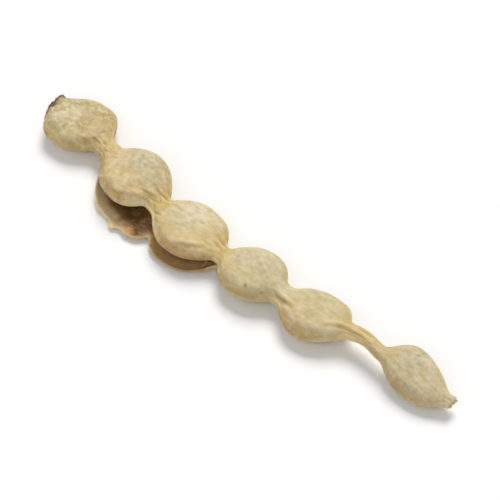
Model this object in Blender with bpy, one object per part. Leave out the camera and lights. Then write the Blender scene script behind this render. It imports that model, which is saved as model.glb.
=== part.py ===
"""A dry babul pod: six disc lobes in a row on narrow necks, with its two valves parted along one edge.

The pod lies face up along X on the plane z = 0. Its near edge, towards -Y, is the one that has come open, at the
second and third lobe. Lengths are in millimetres up to the meshes, whose points are scaled to metres.
"""

import math
from collections import namedtuple

import bmesh
import bpy
from mathutils import Matrix, Vector, noise

METRE = 0.001

# The middle line of the pod: x, y, height above the surface, and roll about X in degrees.
SPINE = (
    (1.3, 1.5, 3.3, -2.0),
    (9.2, 0.3, 2.75, -2.0),
    (18.0, -0.8, 3.5, 1.0),
    (28.0, -2.8, 4.0, 2.0),
    (36.2, -4.4, 3.7, 0.0),
    (44.8, -5.0, 3.0, -2.0),
    (53.4, -4.5, 3.3, 0.0),
    (61.2, -4.2, 3.5, 3.0),
    (69.7, -3.3, 3.4, 1.0),
    (77.4, -3.1, 2.8, -2.0),
    (84.8, -1.2, 3.8, 3.0),
    (89.5, -0.3, 4.3, 8.0),
    (94.5, -0.8, 4.0, 12.0),
    (102.2, -0.2, 2.8, 12.0),
    (112.9, 0.8, 2.8, 8.0),
)

# How the pod swells over each seed. A bulge has its largest place, how far it goes on before and after that, its
# size there, and its fullness: 0.4 for a blunt outline, 0.5 for a disc, and 1 or more for a pointed leaf.
Bulge = namedtuple("Bulge", "x before after size fullness")
FAR_EDGE = (
    Bulge(11.4, 8.6, 5.8, 7.3, 0.7),
    Bulge(28.9, 8.7, 7.8, 7.3, 0.6),
    Bulge(44.6, 8.0, 8.1, 7.8, 0.55),
    Bulge(61.2, 6.9, 7.1, 7.0, 0.5),
    Bulge(76.9, 6.7, 8.0, 6.9, 0.65),
    Bulge(99.5, 6.2, 13.4, 5.9, 1.5),
)
NEAR_EDGE = (
    Bulge(6.4, 5.3, 9.2, 7.2, 0.7),
    Bulge(26.6, 7.8, 7.0, 7.4, 0.5),
    Bulge(44.8, 9.0, 8.2, 6.6, 0.65),
    Bulge(61.2, 6.9, 7.1, 5.9, 0.5),
    Bulge(77.8, 7.4, 7.4, 5.9, 0.5),
    Bulge(104.6, 10.2, 7.8, 4.7, 0.85),
)
HALF_THICKNESS = (
    Bulge(9.0, 8.2, 8.2, 2.8, 0.55),
    Bulge(28.0, 8.2, 7.6, 3.0, 0.55),
    Bulge(44.8, 8.0, 8.2, 3.0, 0.55),
    Bulge(61.2, 7.3, 7.5, 2.8, 0.55),
    Bulge(77.4, 7.5, 7.5, 2.9, 0.55),
    Bulge(101.8, 7.6, 10.6, 2.7, 0.75),
)

# The necks and the two broken ends: x, half width and half thickness.
NECKS = (
    (1.3, 1.75, 0.95),
    (18.0, 2.3, 1.7),
    (36.0, 2.6, 1.7),
    (53.4, 2.3, 1.8),
    (69.7, 2.6, 1.8),
    (85.2, 1.9, 1.2),
    (90.0, 1.45, 1.0),
    (94.0, 1.5, 1.0),
    (110.6, 0.95, 0.6),
    (112.9, 1.35, 0.55),
)

# Where the valves have parted along the near edge: x, rise of the upper lip and drop of the lower lip.
GAPE = (
    (19.8, 0.0, 0.0),
    (23.0, 0.4, 1.6),
    (28.0, 0.7, 2.6),
    (34.5, 0.2, 2.4),
    (40.0, 0.2, 2.1),
    (47.0, 0.4, 2.0),
    (51.5, 0.1, 1.7),
    (55.0, 0.0, 0.0),
)
# There the lower valve has spread wider than the upper one. Its edge is torn: the teeth are x and length.
FLAPS = (Bulge(29.5, 8.7, 9.2, 9.3, 0.26), Bulge(42.0, 5.4, 12.0, 7.1, 0.42))
TEETH = ((25.3, 0.3), (28.5, -0.5), (30.7, 1.1), (32.4, -0.4), (38.2, -1.0))
TOOTH_HALF_LENGTH = 1.3
FLAP_SHARPNESS = 6.0
DROP_POWER = 1.6

# The seed chambers behind the gape: x, half length, and reach towards +Y.
CHAMBERS = ((27.9, 6.2, 5.0), (44.8, 6.2, 5.0))
WALL = 0.85
LIP_WALL = 0.6
NECK_SLOT_DEPTH = 0.8
SLOT_HALF_HEIGHT = 0.1
LIP_INSET = 0.1
LIP_BEAD_SHARE = 0.6

# The raised margin along both edges, with the suture as a groove in it.
MARGIN_WIDTH = 0.55
MARGIN_SHARE = 0.28
MARGIN_HALF_THICK = 0.7
MARGIN_BEAD = 0.08
SUTURE_DEPTH = 0.3
SUTURE_HALF_WIDTH = 0.28

LENS_POWER = 5.0
LENS_FULLNESS = 0.5
OUTLINE_POWER = 2.2
LUMP_HEIGHT = 0.22
LUMP_LENGTH = 4.5
EDGE_WAVER = 0.035
RIDGE_HEIGHT = 0.1
RIDGE_REACH = 3.6
RIDGE_FADE = 2.0

# How finely the skin is drawn: places across a valve, places across a chamber's wall, the step along the edge, and
# the plain stretch behind each broken end.
ACROSS = (0.97, 0.83, 0.65, 0.44, 0.22, 0.0, -0.22, -0.44, -0.65, -0.83, -0.97)
INWARDS = (0.0, 0.16, 0.36, 0.58, 0.78, 0.93)
EDGE_STEP = 1.25
END_STEP = 1.0

TORN_DEPTH = 0.5
TORN_RAGGEDNESS = 0.8
TORN_HOLLOW_SHARE = 0.55

# The seeds, flat ovals lying on the lower valve: x, and offsets from the spine in y and z.
SEED_RADII = (3.7, 3.2, 1.4)
SEEDS = (("seed_lobe_2", 27.6, 0.0, -0.35), ("seed_lobe_3", 44.9, 0.1, -0.4))

POD_COLOUR = (0.52, 0.41, 0.25, 1.0)
SEED_COLOUR = (0.06, 0.03, 0.018, 1.0)


def curve(points, x):
    """The values at x on a smooth curve through points, each a tuple that starts with its own x."""
    x = min(max(x, points[0][0]), points[-1][0])
    right = next(i for i in range(1, len(points)) if x <= points[i][0])
    left = right - 1
    before, start, end, after = (points[max(0, min(i, len(points) - 1))] for i in (left - 1, left, right, right + 1))
    span = end[0] - start[0]
    t = (x - start[0]) / span
    values = []
    for channel in range(1, len(start)):
        leave = (end[channel] - before[channel]) / (end[0] - before[0]) * span
        arrive = (after[channel] - start[channel]) / (after[0] - start[0]) * span
        values.append(
            (2 * t**3 - 3 * t**2 + 1) * start[channel]
            + (t**3 - 2 * t**2 + t) * leave
            + (3 * t**2 - 2 * t**3) * end[channel]
            + (t**3 - t**2) * arrive
        )
    return values


def smooth_max(a, b, sharpness=4.0):
    """The larger of two positive sizes, with the corner where they meet rounded off."""
    return (a**sharpness + b**sharpness) ** (1 / sharpness)


def share_along(x, bulge):
    """0 at the bulge's largest place, 1 at its two ends."""
    return abs(x - bulge.x) / (bulge.before if x < bulge.x else bulge.after)


def swelling(bulges, x):
    """The size at x of whichever bulge is largest there, or 0 between them."""
    rises = [(1 - min(1.0, share_along(x, bulge)) ** OUTLINE_POWER) ** bulge.fullness * bulge.size for bulge in bulges]
    return max(rises)


def in_gape(x):
    return GAPE[0][0] < x < GAPE[-1][0]


def waver(x, edge):
    """A slight unevenness of the outline, different on each edge."""
    return 1 + EDGE_WAVER * noise.noise(Vector((x / LUMP_LENGTH, edge * 17.3, 0.0)))


def tooth(x):
    """How far the flap's torn edge stands out at x."""
    return sum(length * max(0.0, 1 - abs(x - at) / TOOTH_HALF_LENGTH) for at, length in TEETH)


def half_widths(x):
    """From the spine to the far edge, to the near edge of the upper valve, and to that of the lower valve."""
    neck, _ = curve(NECKS, x)
    back = smooth_max(neck, swelling(FAR_EDGE, x)) * waver(x, 1)
    upper = smooth_max(neck, swelling(NEAR_EDGE, x)) * waver(x, 2)
    if not in_gape(x):
        return back, upper, upper
    flap = swelling(FLAPS, x)
    if flap == 0:
        return back, upper, upper
    torn = flap + tooth(x) * min(1.0, flap / neck)
    return back, upper, smooth_max(upper, torn, FLAP_SHARPNESS)


def valve_height(x, share, y, side):
    """Height of a valve's skin over the middle plane, where share is 0 on the spine and 1 at the margin's foot."""
    _, neck_thick = curve(NECKS, x)
    crown = smooth_max(neck_thick, swelling(HALF_THICKNESS, x), 3.0)
    lens = max(0.0, 1 - min(1.0, abs(share)) ** LENS_POWER) ** LENS_FULLNESS
    lump = LUMP_HEIGHT * noise.noise(Vector((x / LUMP_LENGTH, y / LUMP_LENGTH, side * 5.0)))
    return smooth_max(min(MARGIN_HALF_THICK, neck_thick), (crown + lump) * lens, 3.0)


def ridge(x, column):
    """Lengthwise fibre ridges, which run through a neck and fan out into the lobes on both sides of it."""
    if column in (0, len(ACROSS) - 1):
        return 0.0
    inside = max(min(lobe.before, lobe.after) * (1 - share_along(x, lobe)) for lobe in HALF_THICKNESS)
    from_end = min(x - SPINE[0][0], SPINE[-1][0] - x)
    share = min(1.0, max(0.0, 1 - inside / RIDGE_REACH), from_end / RIDGE_FADE)
    return RIDGE_HEIGHT * share * (1 if column % 2 else -1)


def edge_drop(x, y, reach, side):
    """How far the parted valve bends away from the middle plane, from nothing at the spine to all at its lip."""
    if not in_gape(x) or y >= 0:
        return 0.0
    rise, drop = curve(GAPE, x)
    return (rise if side > 0 else drop) * min(1.0, -y / reach) ** DROP_POWER


def margin(reach):
    """The raised margin from its rim inwards, as (distance from the spine, height), on an edge that far out."""
    width = min(MARGIN_WIDTH, MARGIN_SHARE * reach)
    full = MARGIN_HALF_THICK + MARGIN_BEAD - SUTURE_HALF_WIDTH
    bead = SUTURE_HALF_WIDTH + full * width / MARGIN_WIDTH
    return ((reach, SUTURE_HALF_WIDTH), (reach - 0.25 * width, 0.9 * bead), (reach - 0.6 * width, bead)), reach - width


def valve_skin(x, side):
    """The outer points of one valve, from the far edge to the near edge, as (y, z) about the spine."""
    back, upper, lower = half_widths(x)
    front = upper if side > 0 else lower
    back_margin, back_foot = margin(back)
    front_margin, front_foot = margin(front)
    points = list(back_margin)
    for column, share in enumerate(ACROSS):
        y = share * (back_foot if share > 0 else front_foot)
        points.append((y, valve_height(x, share, y, side) + ridge(x, column)))
    points += [(-reach, z) for reach, z in reversed(front_margin)]
    return [(y, side * (z + edge_drop(x, y, front, side))) for y, z in points]


def skin_at(points, y):
    """Height at y of a line of (y, z) points that runs from the far edge to the near edge."""
    for (y0, z0), (y1, z1) in zip(points, points[1:]):
        if y0 >= y >= y1:
            return z0 + (z1 - z0) * (y0 - y) / (y0 - y1)
    return points[-1][1]


def chamber_back(x, upper):
    """How far the slot between the valves reaches: just past the lip in a neck, over the spine in a chamber."""
    shallow = NECK_SLOT_DEPTH - upper
    for middle, half_length, reach in CHAMBERS:
        along = abs(x - middle) / half_length
        if along < 1:
            return shallow + (reach - shallow) * math.sqrt(1 - along**2)
    return shallow


def slot_wall(x, skin, side, back, front):
    """The inner points of a parted valve, from its lip to the back of the slot."""
    points = []
    for share in INWARDS:
        y = share * back - (1 - share) * (front - LIP_INSET)
        wall = LIP_WALL + (WALL - LIP_WALL) * min(1.0, share * 3)
        outer = side * skin_at(skin, max(y, LIP_BEAD_SHARE * MARGIN_WIDTH - front))
        height = max(outer - wall, SLOT_HALF_HEIGHT) * math.sqrt(1 - share**6)
        points.append((y, side * height))
    return points


def section(x):
    """One closed ring of (y, z) points. Where the pod is closed, the points of the slot are all in the suture."""
    back, upper, lower = half_widths(x)
    top = valve_skin(x, 1)
    bottom = valve_skin(x, -1)
    if in_gape(x):
        end = chamber_back(x, upper)
        slot_top = slot_wall(x, top, 1, end, upper)
        slot_bottom = slot_wall(x, bottom, -1, end, lower)
        slot = slot_top + [(end, (slot_top[-1][1] + slot_bottom[-1][1]) / 2)] + slot_bottom[::-1]
    else:
        slot = [(SUTURE_DEPTH - upper, 0.0)] * (2 * len(INWARDS) + 1)
    return [(back - SUTURE_DEPTH, 0.0)] + top + slot + bottom[::-1]


def stations():
    """Values of x from end to end, closer where the outline runs across the pod."""
    start, end, fine = SPINE[0][0], SPINE[-1][0], 0.05
    x, travelled = start + END_STEP, 0.0
    places = [start, x]
    before = half_widths(x)
    while x < end - END_STEP - fine:
        x += fine
        here = half_widths(x)
        travelled += math.hypot(fine, max(abs(a - b) for a, b in zip(here, before)))
        before = here
        if travelled >= EDGE_STEP:
            places.append(x)
            travelled = 0.0
    return places + [end]


def ring_points(x):
    """The section at x, rolled and set on the spine. Nothing goes below the surface that the pod lies on."""
    y_mid, z_mid, roll = curve(SPINE, x)
    turn = Matrix.Rotation(math.radians(roll), 3, "X")
    points = [turn @ Vector((0.0, y, z)) + Vector((x, y_mid, z_mid)) for y, z in section(x)]
    skin_count = len(valve_skin(x, 1))
    slot = range(1 + skin_count, 1 + skin_count + 2 * len(INWARDS) + 1)
    for index, point in enumerate(points):
        point.z = max(point.z, LIP_WALL if index in slot else 0.0)
    return points


def tear(points, outwards):
    """A broken end: the last ring made ragged, then a hollow inside it."""
    middle = sum(points, Vector()) / len(points)
    for point in points:
        point.x += outwards * TORN_RAGGEDNESS * noise.noise(Vector((0.0, point.y * 1.7, point.z * 1.7)))
    hollow = [middle + (point - middle) * TORN_HOLLOW_SHARE for point in points]
    for point in hollow:
        point.x = middle.x - outwards * TORN_DEPTH
    return hollow


def loft(rings):
    """A closed skin over rings of equal count. Points that share a place are merged, which closes the suture."""
    mesh = bmesh.new()
    loops = [[mesh.verts.new(point) for point in ring] for ring in rings]
    count = len(loops[0])
    for loop, following in zip(loops, loops[1:]):
        for i in range(count):
            j = (i + 1) % count
            mesh.faces.new((loop[i], loop[j], following[j], following[i]))
    mesh.faces.new(loops[0][::-1])
    mesh.faces.new(loops[-1])
    bmesh.ops.remove_doubles(mesh, verts=mesh.verts, dist=1e-4)
    caps = [face for face in mesh.faces if len(face.verts) > 4]
    bmesh.ops.poke(mesh, faces=caps)
    bmesh.ops.triangulate(mesh, faces=mesh.faces)
    bmesh.ops.recalc_face_normals(mesh, faces=mesh.faces)
    return mesh


def pod_mesh():
    rings = [ring_points(x) for x in stations()]
    start_hollow = tear(rings[0], -1)
    tip_hollow = tear(rings[-1], 1)
    return loft([start_hollow] + rings + [tip_hollow])


def seed_mesh(x, y_offset, z_offset):
    """A flat oval seed, a little pointed at the end by the near edge, where it hung."""
    y_mid, z_mid, roll = curve(SPINE, x)
    mesh = bmesh.new()
    bmesh.ops.create_icosphere(mesh, subdivisions=3, radius=1.0)
    for vert in mesh.verts:
        vert.co.x *= 1 - 0.12 * max(0.0, -vert.co.y)
        vert.co = Vector(a * b for a, b in zip(vert.co, SEED_RADII))
    turn = Matrix.Rotation(math.radians(roll), 4, "X")
    place = Matrix.Translation((x, y_mid + y_offset, z_mid + z_offset)) @ turn
    bmesh.ops.transform(mesh, matrix=place, verts=mesh.verts)
    return mesh


def material(name, colour, roughness):
    finish = bpy.data.materials.new(name)
    finish.use_nodes = True
    shader = finish.node_tree.nodes["Principled BSDF"]
    shader.inputs["Base Color"].default_value = colour
    shader.inputs["Roughness"].default_value = roughness
    shader.inputs["Metallic"].default_value = 0.0
    return finish


def add_object(name, mesh, shift, finish):
    """Makes the object, with the whole pod's foot moved to the origin and its points in metres."""
    bmesh.ops.translate(mesh, vec=shift, verts=mesh.verts)
    bmesh.ops.scale(mesh, vec=(METRE, METRE, METRE), verts=mesh.verts)
    data = bpy.data.meshes.new(name)
    mesh.to_mesh(data)
    mesh.free()
    data.shade_smooth()
    data.materials.append(finish)
    bpy.context.scene.collection.objects.link(bpy.data.objects.new(name, data))


def foot_to_origin(mesh):
    """The move that puts the middle of the pod's outline, at the height it rests on, at the origin."""
    lows = [min(vert.co[axis] for vert in mesh.verts) for axis in range(3)]
    highs = [max(vert.co[axis] for vert in mesh.verts) for axis in range(3)]
    return Vector((-(lows[0] + highs[0]) / 2, -(lows[1] + highs[1]) / 2, -lows[2]))


def main():
    for old in list(bpy.data.objects):
        bpy.data.objects.remove(old)
    pod = pod_mesh()
    shift = foot_to_origin(pod)
    add_object("pod", pod, shift, material("dry_pod_skin", POD_COLOUR, 0.85))
    seed_coat = material("seed_coat", SEED_COLOUR, 0.4)
    for name, x, y_offset, z_offset in SEEDS:
        add_object(name, seed_mesh(x, y_offset, z_offset), shift, seed_coat)


main()
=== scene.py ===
# %% [markdown]
# # A dry babul pod
# The pod of the babul tree is a flat chain of round lobes, one for each seed, joined by narrow necks. It is
# two thin woody valves grown together along both edges. Dry, it is straw-grey and a little downy, ochre at
# the necks, wrinkled where the flesh shrank, and it lies here with two lobes sprung open, so that the brown
# inside and two seeds show.
#
# Nothing here moves or resizes the model. The script loads its exact solids as a fixed frame, and dresses
# them: the pod and the seeds are each replaced by a finer mesh that starts from the solid or from its box.

# %% The frame
import math

import bmesh
import bpy
import numpy as np
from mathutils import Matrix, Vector, noise
from mathutils.kdtree import KDTree


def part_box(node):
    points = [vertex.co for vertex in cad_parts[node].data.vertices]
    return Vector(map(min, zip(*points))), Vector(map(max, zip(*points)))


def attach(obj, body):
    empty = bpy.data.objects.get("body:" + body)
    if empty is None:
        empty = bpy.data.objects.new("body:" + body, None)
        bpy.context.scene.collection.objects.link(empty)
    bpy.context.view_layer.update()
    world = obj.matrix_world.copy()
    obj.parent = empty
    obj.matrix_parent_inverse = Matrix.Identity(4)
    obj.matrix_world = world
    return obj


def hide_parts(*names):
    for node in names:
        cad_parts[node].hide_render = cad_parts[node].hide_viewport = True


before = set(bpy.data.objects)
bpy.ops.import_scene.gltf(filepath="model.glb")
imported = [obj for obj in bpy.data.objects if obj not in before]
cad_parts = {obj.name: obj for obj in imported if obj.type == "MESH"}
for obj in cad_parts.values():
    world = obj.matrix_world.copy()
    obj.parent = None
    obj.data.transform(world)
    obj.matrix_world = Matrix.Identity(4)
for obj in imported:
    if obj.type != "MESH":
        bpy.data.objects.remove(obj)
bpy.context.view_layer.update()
MM = 0.001

# %% [markdown]
# ## The view
# The pod is seen from above at an angle, with its first lobe at the upper left and its tip at the lower
# right. A camera far away with a long lens shows it almost without perspective, as a small thing
# photographed from a distance looks. It could also be an orthographic camera, but a long lens keeps a real
# camera's behaviour when the view is turned. It is aimed at the middle of the outline as the camera sees
# it, worked out from the solids.

# %% The camera
AZIMUTH = math.radians(43.6)
ELEVATION = math.radians(52.0)
LENS = 1200.0
VIEW_WIDTH = 101 * MM
SIGHT = 50.0

RIGHT = Vector((math.cos(AZIMUTH), math.sin(AZIMUTH), 0.0))
AWAY = Vector((-math.sin(AZIMUTH), math.cos(AZIMUTH), 0.0))
TO_CAMERA = Vector((0.0, 0.0, 1.0)) * math.sin(ELEVATION) - AWAY * math.cos(ELEVATION)
UP = TO_CAMERA.cross(RIGHT)


def middle_along(direction, points):
    """Halfway between the furthest points each way."""
    reach = [point.dot(direction) for point in points]
    return (min(reach) + max(reach)) / 2


pod_points = [vertex.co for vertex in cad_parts["pod"].data.vertices]
aim = RIGHT * middle_along(RIGHT, pod_points) + UP * middle_along(UP, pod_points)

camera = bpy.data.objects.new("camera", bpy.data.cameras.new("camera"))
camera.data.lens = LENS
camera.data.clip_end = SIGHT
camera.location = aim + TO_CAMERA * (VIEW_WIDTH * LENS / camera.data.sensor_width)
camera.rotation_euler = TO_CAMERA.to_track_quat("Z", "Y").to_euler()
bpy.context.scene.collection.objects.link(camera)
bpy.context.scene.camera = camera
print("the camera stands", round((camera.location - aim).length, 2), "m away")

# %% [markdown]
# ## Floor and light
# A plain pale floor and soft studio light: a key light from above, a little behind the pod and to the
# right, which models the domes and leaves their near flanks darker, and a weak one from the front left that
# keeps the shade open. Area lamps close by would do, but they leave the far floor grey when the view is
# turned. Sun lamps light the floor alike everywhere, and a wide angle gives them the soft-edged shadows of
# a large window. A pale world fills the rest, and behind the floor it is as bright as the floor, so that no
# horizon shows.

# %% The floor
FLOOR_HALF_WIDTH = 2.5
FLOOR_DROP = 0.02 * MM
FLOOR_COLOUR = (0.91, 0.91, 0.905, 1.0)
FLOOR_ROUGHNESS = 0.9


def finished_mesh(name, shell):
    """The bmesh as a new mesh."""
    mesh = bpy.data.meshes.new(name)
    shell.to_mesh(mesh)
    shell.free()
    return mesh


def new_material(name):
    """A new material, its node tree, and the shader in it."""
    made = bpy.data.materials.new(name)
    made.use_nodes = True
    return made, made.node_tree, made.node_tree.nodes["Principled BSDF"]


slab = bmesh.new()
bmesh.ops.create_grid(slab, x_segments=1, y_segments=1, size=FLOOR_HALF_WIDTH)
bmesh.ops.translate(slab, vec=(0.0, 0.0, -FLOOR_DROP), verts=slab.verts)
floor = bpy.data.objects.new("floor", finished_mesh("floor", slab))
bpy.context.scene.collection.objects.link(floor)

paper, _, shader = new_material("floor_paper")
shader.inputs["Base Color"].default_value = FLOOR_COLOUR
shader.inputs["Roughness"].default_value = FLOOR_ROUGHNESS
floor.data.materials.append(paper)
print("the floor is", 2 * FLOOR_HALF_WIDTH, "m wide")


# %% The lamps
def add_lamp(name, right, away, height, width, strength, colour):
    """A sun lamp that shines from the right, from further away and from above, as the camera sees it."""
    lamp = bpy.data.objects.new(name, bpy.data.lights.new(name, "SUN"))
    lamp.data.angle = math.radians(width)
    lamp.data.energy = strength
    lamp.data.color = colour
    lamp.location = RIGHT * right + AWAY * away + Vector((0.0, 0.0, height))
    lamp.rotation_euler = lamp.location.to_track_quat("Z", "Y").to_euler()
    bpy.context.scene.collection.objects.link(lamp)
    print(name, "light of strength", strength, "and", width, "degrees wide")


add_lamp("key", right=0.12, away=0.5, height=0.66, width=32.0, strength=2.35, colour=(1.0, 0.985, 0.96))
add_lamp("fill", right=-0.3, away=-0.6, height=0.55, width=60.0, strength=0.7, colour=(0.97, 0.975, 1.0))

# %% The pale world, brighter to the camera than to the pod
ROOM_COLOUR = (0.97, 0.98, 1.0, 1.0)
ROOM_LIGHT, ROOM_BRIGHTNESS = 0.42, 0.95
world = bpy.data.worlds.new("pale_room")
world.use_nodes = True
room = world.node_tree.nodes["Background"]
room.inputs["Color"].default_value = ROOM_COLOUR
rays = world.node_tree.nodes.new("ShaderNodeLightPath")
level = world.node_tree.nodes.new("ShaderNodeMapRange")
level.inputs["To Min"].default_value = ROOM_LIGHT
level.inputs["To Max"].default_value = ROOM_BRIGHTNESS
world.node_tree.links.new(rays.outputs["Is Camera Ray"], level.inputs["Value"])
world.node_tree.links.new(level.outputs["Result"], room.inputs["Strength"])
bpy.context.scene.world = world
bpy.context.scene.view_settings.view_transform = "Standard"
print("the world lights with", ROOM_LIGHT, "and looks", ROOM_BRIGHTNESS, "bright")

# %% [markdown]
# ## A fine skin for the pod
# The solid holds the pod's real form in about nine thousand triangles, enough for its outline, its domes,
# its margins and the parted lobes, but not for its wrinkles. The fine skin is a copy of the solid, so it
# can't stray from it. Its loose triangles are merged and paired back into quads, which Catmull-Clark
# subdivision likes best, and two rounds of subdivision give a point every 0.3 mm. Sculpting by hand would
# do as well, but a rule in code treats the top and the underside alike.

# %% A merged and subdivided copy
MERGE_DISTANCE = 0.001 * MM
QUAD_ANGLE = math.radians(60.0)
ROUNDS = 2


def quads_of(node):
    """A new mesh with the node's triangles merged and paired into quads."""
    shell = bmesh.new()
    shell.from_mesh(node.data)
    bmesh.ops.remove_doubles(shell, verts=shell.verts, dist=MERGE_DISTANCE)
    bmesh.ops.join_triangles(
        shell, faces=shell.faces, angle_face_threshold=QUAD_ANGLE, angle_shape_threshold=QUAD_ANGLE
    )
    mesh = finished_mesh(node.name + "_quads", shell)
    mesh.materials.clear()
    return mesh


def link_piece(name, mesh):
    """Puts the mesh in the scene as a finished piece: smooth, at the origin, riding on the one body."""
    mesh.name = name
    mesh.shade_smooth()
    piece = bpy.data.objects.new(name, mesh)
    bpy.context.scene.collection.objects.link(piece)
    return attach(piece, "root")


dry_pod = link_piece("dry_pod", quads_of(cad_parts["pod"]))
rounding = dry_pod.modifiers.new("rounding", "SUBSURF")
rounding.levels = rounding.render_levels = ROUNDS
coarse_count = len(dry_pod.data.polygons)
depsgraph = bpy.context.evaluated_depsgraph_get()
dry_pod.data = bpy.data.meshes.new_from_object(dry_pod.evaluated_get(depsgraph))
dry_pod.modifiers.clear()
print("from", coarse_count, "faces to", len(dry_pod.data.polygons))


# %% The skin's points as arrays, in millimetres
def read_vectors(source, name, count):
    """One row of three numbers for each item of the source."""
    values = np.empty(count * 3)
    source.foreach_get(name, values)
    return values.reshape(-1, 3)


count = len(dry_pod.data.vertices)
place = read_vectors(dry_pod.data.vertices, "co", count) / MM
facing = read_vectors(dry_pod.data.vertex_normals, "vector", count)
x, y, z = place.T
links = np.empty(len(dry_pod.data.edges) * 2, dtype=int)
dry_pod.data.edges.foreach_get("vertices", links)
link_starts, link_ends = links.reshape(-1, 2).T
print(count, "points, x from", round(x.min(), 1), "to", round(x.max(), 1))

# %% [markdown]
# ## Finding the way about on the pod
# Every mark on the skin follows the pod's own shape: ridges run lengthwise and squeeze together in a neck,
# a raised rim follows each edge, the crowns bleach. So each point needs to know its valve, how far it is
# from the nearest edge, and how narrow the pod is there. Painting these as masks by hand would break with
# any change of the solid. Here they are measured: the points are sorted into slices along X, and each slice
# gives its outermost points.

# %% The outline, slice by slice
SLICE = 0.5
EDGE_BAND = 0.3
EVENED_SLICES = 9
PARTED_FROM, PARTED_TO = -37.3, -2.1
slices = ((x - x.min()) / SLICE).astype(int)
slice_middles = x.min() + (np.arange(slices.max() + 1) + 0.5) * SLICE


def furthest(values, chosen, largest):
    """The largest or smallest value of the chosen points in each slice, filled in where a slice has none."""
    found = np.full(len(slice_middles), -np.inf if largest else np.inf)
    (np.maximum if largest else np.minimum).at(found, slices[chosen], values[chosen])
    known = np.isfinite(found)
    return np.interp(slice_middles, slice_middles[known], found[known])


def mean_height(chosen):
    """The mean height of the chosen points of each slice, evened along the pod."""
    total = np.bincount(slices[chosen], z[chosen], len(slice_middles))
    number = np.bincount(slices[chosen], minlength=len(slice_middles))
    known = number > 0
    heights = np.interp(slice_middles, slice_middles[known], total[known] / number[known])
    padded = np.pad(heights, EVENED_SLICES // 2, mode="edge")
    return np.convolve(padded, np.ones(EVENED_SLICES) / EVENED_SLICES, mode="valid")


def along(values):
    """The slices' values, read off at each point."""
    return np.interp(x, slice_middles, values)


everywhere = np.ones(count, dtype=bool)
far_edge = furthest(y, everywhere, True)
near_edge = furthest(y, everywhere, False)
far_height = mean_height(y > along(far_edge) - EDGE_BAND)
near_height = mean_height(y < along(near_edge) + EDGE_BAND)
parted = (slice_middles > PARTED_FROM) & (slice_middles < PARTED_TO)
near_height[parted] = far_height[parted]
across = (y - along(near_edge)) / (along(far_edge) - along(near_edge))
middle_plane = along(near_height) + across * (along(far_height) - along(near_height))
upper = z > middle_plane
widths = far_edge - near_edge
print("widest", round(widths.max(), 1), "mm, narrowest", round(widths.min(), 1), "mm")

# %% [markdown]
# The two valves have edges of their own where the pod has parted, so each gets its own outline, and the
# distance to it is measured square to the edge with a k-d tree, which finds the nearest of many points
# quickly. A measure of the slices along Y alone would be wrong at the lobes' ends, where the outline runs
# across the pod.

# %% Distance from the rim, and the width of each place
RIM_STEP = 0.1
upper_near_edge = furthest(y, upper, False)
lower_near_edge = furthest(y, ~upper, False)


def distance_to_outline(chosen, near):
    """How far each chosen point is from its valve's outline, seen from above."""
    stops = np.arange(slice_middles[0], slice_middles[-1], RIM_STEP)
    tree = KDTree(2 * len(stops))
    for edge in (far_edge, near):
        for stop, reach in zip(stops, np.interp(stops, slice_middles, edge)):
            tree.insert((stop, reach, 0.0), 0)
    tree.balance()
    return [tree.find((px, py, 0.0))[2] for px, py in zip(x[chosen], y[chosen])]


rim = np.zeros(count)
rim[upper] = distance_to_outline(upper, upper_near_edge)
rim[~upper] = distance_to_outline(~upper, lower_near_edge)
valve_near = np.where(upper, along(upper_near_edge), along(lower_near_edge))
half_width = (along(far_edge) - valve_near) / 2
from_middle = (y - (along(far_edge) + valve_near) / 2) / half_width
print("the deepest point is", round(rim.max(), 1), "mm from an edge")

# %% [markdown]
# Four helpers turn these measures into masks and heights: a smooth step, a soft bump, smooth noise of a
# given size, and a table that says how strong something is at places along the pod. Blender's own noise is
# always the same at the same place, so the pod comes out alike each time.


# %% Shaping helpers
def rise(values, low, high):
    """0 at low, 1 at high and a smooth way between, also with low above high."""
    share = np.clip((values - low) / (high - low), 0.0, 1.0)
    return share * share * (3 - 2 * share)


def bump_at(values, middle, width):
    """1 at the middle, and almost 0 at twice the width from it."""
    return np.exp(-(((values - middle) / width) ** 2))


def noise_of(length, width, thickness, seed, turn=0.0):
    """Smooth noise from -1 to 1 with blotches of that size in mm, turned about Z by an angle in degrees."""
    cosine, sine = math.cos(math.radians(turn)), math.sin(math.radians(turn))
    lengthwise = (x * cosine + y * sine) / length
    crosswise = (y * cosine - x * sine) / width
    return np.array([noise.noise(Vector(p)) for p in zip(lengthwise, crosswise + seed, z / thickness + seed)])


def by_place(table, column=1):
    """A column of a table whose rows start with x in mm, read off at each point."""
    rows = np.array(table)
    return np.interp(x, rows[:, 0], rows[:, column])


# %% [markdown]
# ## Inside or outside
# The wall of a parted valve has a pale downy outside and a smooth brown inside. On the upper valve the
# inside is what faces down, and on the lower valve it is what faces up, within the stretch that has parted.
# The back of the seed chambers faces the gap, so it is told by lying deep behind the upper valve's lip.
# Along the lower valve's edge a margin stays pale, as the outside is.

# %% The mask of the inside
INNER_FACING = 0.1
# The ends of four steps: depth behind the lip, how much the back faces outwards, and two distances from the
# far edge. Lengths are in mm.
BACK_DEPTH = (0.9, 1.4)
BACK_FACING = (0.75, 0.45)
FAR_WALL, FAR_SEAM = (1.5, 2.5), (0.5, 1.5)
# How broad the pale margin inside the edge is: x and breadth, in mm.
MARGIN = ((-37.0, 1.3), (-33.0, 1.3), (-30.5, 0.9), (-27.0, 0.3), (-20.0, 0.3), (-5.0, 0.5))
SOFTENING = 2
BEFORE, WITHIN = 0.2, 0.8


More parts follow.
